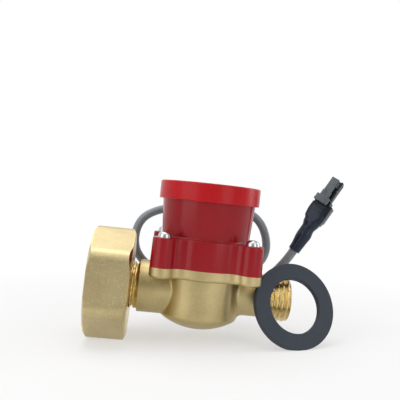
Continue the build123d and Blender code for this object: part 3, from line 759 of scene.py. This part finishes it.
def shrunkSleeve(settings):
    start = Vector(plugPlace["start"])
    stations = settings["stations"]
    last = stations[-1][0]
    across = settings["wrinklesAcross"]
    shell = bmesh.new()
    walls = []
    for inside in (False, True):
        rings = []
        for step in range(settings["rings"] + 1):
            along = last * step / settings["rings"]
            _, middle, width, depth, square, holeWidth, holeDepth = stationAt(stations, along)
            if inside:
                width, depth, square = holeWidth, holeDepth, max(square, 2.0)
            ring = []
            for index in range(settings["around"]):
                turn = 2 * math.pi * index / settings["around"]
                c, s = math.cos(turn), math.sin(turn)
                x = width * math.copysign(abs(c) ** (2 / square), c)
                y = depth * math.copysign(abs(s) ** (2 / square), s)
                # the end is cut back on the plug's lower side
                back = max(0.0, along - settings["slantFrom"]) / (last - settings["slantFrom"])
                z = along - back * settings["slant"] * (1 - c) ** 1.5
                if not inside:
                    spot = Vector((x * across, y * across, z * settings["wrinklesAlong"]))
                    calm = min(1.0, (last - along) / settings["calmEnd"])
                    swell = 1 + settings["wrinkle"] / width * calm * noise.noise(spot)
                    x, y = x * swell, y * swell
                place = start + plugSide * (x + middle) + plugFront * y + plugAxis * z
                ring.append(shell.verts.new(place))
            rings.append(ring)
        walls.append(rings)
    outer, inner = walls
    loops = outer + inner[::-1]
    for first, second in zip(loops, loops[1:] + loops[:1]):
        for index in range(settings["around"]):
            after = (index + 1) % settings["around"]
            shell.faces.new((first[index], first[after], second[after], second[index]))
    bmesh.ops.recalc_face_normals(shell, faces=shell.faces)
    mesh = bpy.data.meshes.new("shrunkSleeve")
    shell.to_mesh(mesh)
    shell.free()
    smoothed(mesh, settings["sharpFrom"])
    mesh.materials.append(finishes["sleeve_black"])
    return placed("shrunkSleeve", mesh)


sleeve = shrunkSleeve(sleeveSettings)
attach(sleeve, "body")
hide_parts("cord_sleeve")
print("sleeve made")

# two-way plug: a wide rear, a narrower open front with side slots, ears and rails for the latch

# each block and cut: lowest and highest corner across, towards the latch and along, in millimetres
plugSettings = {
    "blocks": [
        ((-4.3, -2.9, 19.0), (5.2, 2.9, 27.6)),
        ((-2.5, -2.9, 27.0), (4.9, 2.9, 29.6)),
        ((-1.5, -2.9, 29.0), (4.4, 2.9, 40.5)),
        ((-2.3, 1.6, 36.3), (-1.45, 4.7, 40.5)),
        ((3.05, 2.4, 36.3), (3.9, 4.7, 39.3)),
        ((-2.4, 1.2, 30.2), (-1.5, 4.4, 35.0)),
        ((3.05, 2.4, 30.6), (3.75, 3.7, 36.6)),
    ],
    "cuts": [
        ((-0.8, -2.1, 32.5), (3.7, 2.1, 41.0)),
        ((-2.6, -1.5, 36.6), (0.0, 1.5, 41.0)),
        ((3.0, -0.7, 34.2), (5.0, 0.7, 41.0)),
        ((0.4, 2.0, 38.6), (2.4, 3.2, 41.0)),
    ],
    "edge": 0.00018,
}
latchSettings = {
    "blocks": [
        ((-0.5, 5.1, 27.4), (3.5, 6.2, 40.5)),
        ((-0.9, 5.2, 28.6), (3.9, 6.1, 33.0)),
        ((-1.9, 5.1, 26.6), (5.1, 7.0, 27.9)),
        ((-1.9, 5.1, 27.8), (5.1, 6.5, 30.0)),
        ((-1.2, 3.3, 36.6), (2.8, 5.6, 39.0)),
    ],
    "cuts": [
        ((0.5, 6.0, 30.6), (2.5, 6.6, 31.2)),
        ((0.5, 6.0, 31.9), (2.5, 6.6, 32.5)),
    ],
    "edge": 0.00016,
    "axle": {"from": -2.2, "to": 3.8, "height": 3.85, "along": 37.8, "radius": 0.6},
}
plugSharpFrom = 35


def block(shape, low, high):
    size = tuple((b - a) / 1000 for a, b in zip(low, high))
    middle = tuple((a + b) / 2000 for a, b in zip(low, high))
    return shape.shift(shape.add("GeometryNodeMeshCube", {}, {"Size": size}), middle)


def mouldedPiece(name, settings, material):
    shape = Shape(name, {})
    parts = [block(shape, low, high) for low, high in settings["blocks"]]
    if "axle" in settings:
        size = settings["axle"]
        length = size["to"] - size["from"]
        axle = {"Vertices": 20, "Radius": size["radius"] / 1000, "Depth": length / 1000}
        axle = shape.add("GeometryNodeMeshCylinder", {}, axle)
        middle = (size["from"] + size["to"]) / 2
        place = (middle / 1000, size["height"] / 1000, size["along"] / 1000)
        parts.append(shape.shift(axle, place, (0, math.pi / 2, 0)))
    whole = shape.united(*parts)
    for low, high in settings["cuts"]:
        whole = shape.without(whole, block(shape, low, high))
    mesh = shape.build(whole, material)
    frameTurn = Matrix((plugSide, plugFront, plugAxis)).transposed().to_4x4()
    mesh.transform(Matrix.Translation(plugPlace["start"]) @ frameTurn)
    piece = placed(name, mesh)
    edge = piece.modifiers.new("edge", "BEVEL")
    edge.width = settings["edge"]
    edge.segments = 2
    edge.limit_method = "ANGLE"
    edge.use_clamp_overlap = True
    applied(piece)
    smoothed(piece.data, plugSharpFrom)
    return piece


housing = mouldedPiece("plugHousing", plugSettings, finishes["plug_black"])
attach(housing, "body")
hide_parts("connector_housing")
latch = mouldedPiece("plugLatch", latchSettings, finishes["latch_grey"])
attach(latch, "latch")
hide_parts("connector_latch")
print("plug made")

# floor, lamps and world

stageSettings = {
    "floorSize": 3.0,
    "floorUnder": (-0.041, 0, -0.0251),
    "floorTilt": -4.46,
    "floorColour": (0.88, 0.88, 0.88),
    "floorFleck": (0.91, 0.91, 0.91),
    "shadowGlow": 0.50,
    "floorGleam": 0.45,
    "shadowReach": 0.10,
    "whiteFrom": 0.24,
    "worldStrength": 0.49,
    "frontDim": 0.42,
    "behindFrom": -0.45,
    "behindFull": 0.25,
    "aboveFrom": 0.35,
    "aboveFull": 0.85,
}
lampSettings = [
    {
        "name": "topLamp",
        "place": (-0.12, 0.06, 0.55),
        "aim": (0, 0, 0.01),
        "size": (0.50, 0.50),
        "power": 1.5,
    },
    {
        "name": "leftPanel",
        "place": (-0.46, -0.36, 0.10),
        "aim": (0, 0, 0.02),
        "size": (0.42, 0.80),
        "power": 1.65,
    },
    {
        "name": "rightPanel",
        "place": (0.33, -0.50, 0.10),
        "aim": (0, 0, 0.02),
        "size": (0.24, 0.80),
        "power": 1.15,
    },
    {
        "name": "edgeStrip",
        "place": (0.60, 0.10, 0.15),
        "aim": (0, 0, 0.02),
        "size": (0.16, 0.70),
        "power": 1.2,
    },
]


def makeFloor(settings):
    mesh = bpy.data.meshes.new("floor")
    half = settings["floorSize"] / 2
    corners = [(-half, -half, 0), (half, -half, 0), (half, half, 0), (-half, half, 0)]
    mesh.from_pydata(corners, [], [(0, 1, 2, 3)])
    floor = placed("floor", mesh)
    tilt = Matrix.Rotation(math.radians(settings["floorTilt"]), 4, "Y")
    mesh.transform(Matrix.Translation(settings["floorUnder"]) @ tilt)
    shader = Shader("paleFloor")
    fleck = shader.noise(300, 3)
    pale = shader.tint(fleck, settings["floorColour"], settings["floorFleck"])
    diffuse = shader.add("ShaderNodeBsdfDiffuse", {}, {"Color": pale})
    glow = shader.add("ShaderNodeEmission", {}, {"Color": (1, 1, 1), "Strength": 1.0})
    # the floor turns into the white background away from the shadow, and shows brighter in gloss
    away = (shader.axis(0) * shader.axis(0) + shader.axis(1) * shader.axis(1)) ** 0.5
    away = shader.spread(away, settings["shadowReach"], settings["whiteFrom"])
    camera = shader.add("ShaderNodeLightPath", output="Is Camera Ray")
    glossy = shader.add("ShaderNodeLightPath", output="Is Glossy Ray")
    seen = camera * (settings["shadowGlow"] + (1 - settings["shadowGlow"]) * away)
    seen = seen + glossy * settings["floorGleam"]
    surface = shader.add("ShaderNodeMixShader", {}, {0: seen, 1: diffuse, 2: glow})
    mesh.materials.append(shader.close(surface))


def makeLamp(settings):
    data = bpy.data.lights.new(settings["name"], "AREA")
    data.shape = "RECTANGLE"
    data.size, data.size_y = settings["size"]
    data.energy = settings["power"]
    lamp = placed(settings["name"], data)
    lamp.location = settings["place"]
    toAim = Vector(settings["aim"]) - lamp.location
    lamp.rotation_euler = toAim.to_track_quat("-Z", "Y").to_euler()


class World(NodeTree):
    def __init__(self, name):
        self.world = bpy.data.worlds.new(name)
        self.world.use_nodes = True
        self.tree = self.world.node_tree
        self.tree.nodes.clear()


def makeWorld(settings):
    # white to the camera; in gloss, white behind and above the object and a dimmer room in front
    sky = World("paleWorld")
    look = sky.add("ShaderNodeTexCoord", output="Generated")
    back = sky.add("ShaderNodeSeparateXYZ", {}, {"Vector": look}, 1)
    up = sky.add("ShaderNodeSeparateXYZ", {}, {"Vector": look}, 2)
    behind = sky.spread(back, settings["behindFrom"], settings["behindFull"])
    above = sky.spread(up, settings["aboveFrom"], settings["aboveFull"])
    bright = sky.largest(behind, above)
    gloss = settings["frontDim"] + (1 - settings["frontDim"]) * bright
    camera = sky.add("ShaderNodeLightPath", output="Is Camera Ray")
    glossy = sky.add("ShaderNodeLightPath", output="Is Glossy Ray")
    strength = sky.add("ShaderNodeMix", {}, {0: glossy, 2: settings["worldStrength"], 3: gloss})
    strength = sky.largest(camera, strength)
    glow = sky.add("ShaderNodeBackground", {}, {"Color": (1, 1, 1), "Strength": strength})
    sky.add("ShaderNodeOutputWorld", {}, {"Surface": glow})
    scene.world = sky.world


makeFloor(stageSettings)
for lamp in lampSettings:
    makeLamp(lamp)
makeWorld(stageSettings)
print("stage lit")
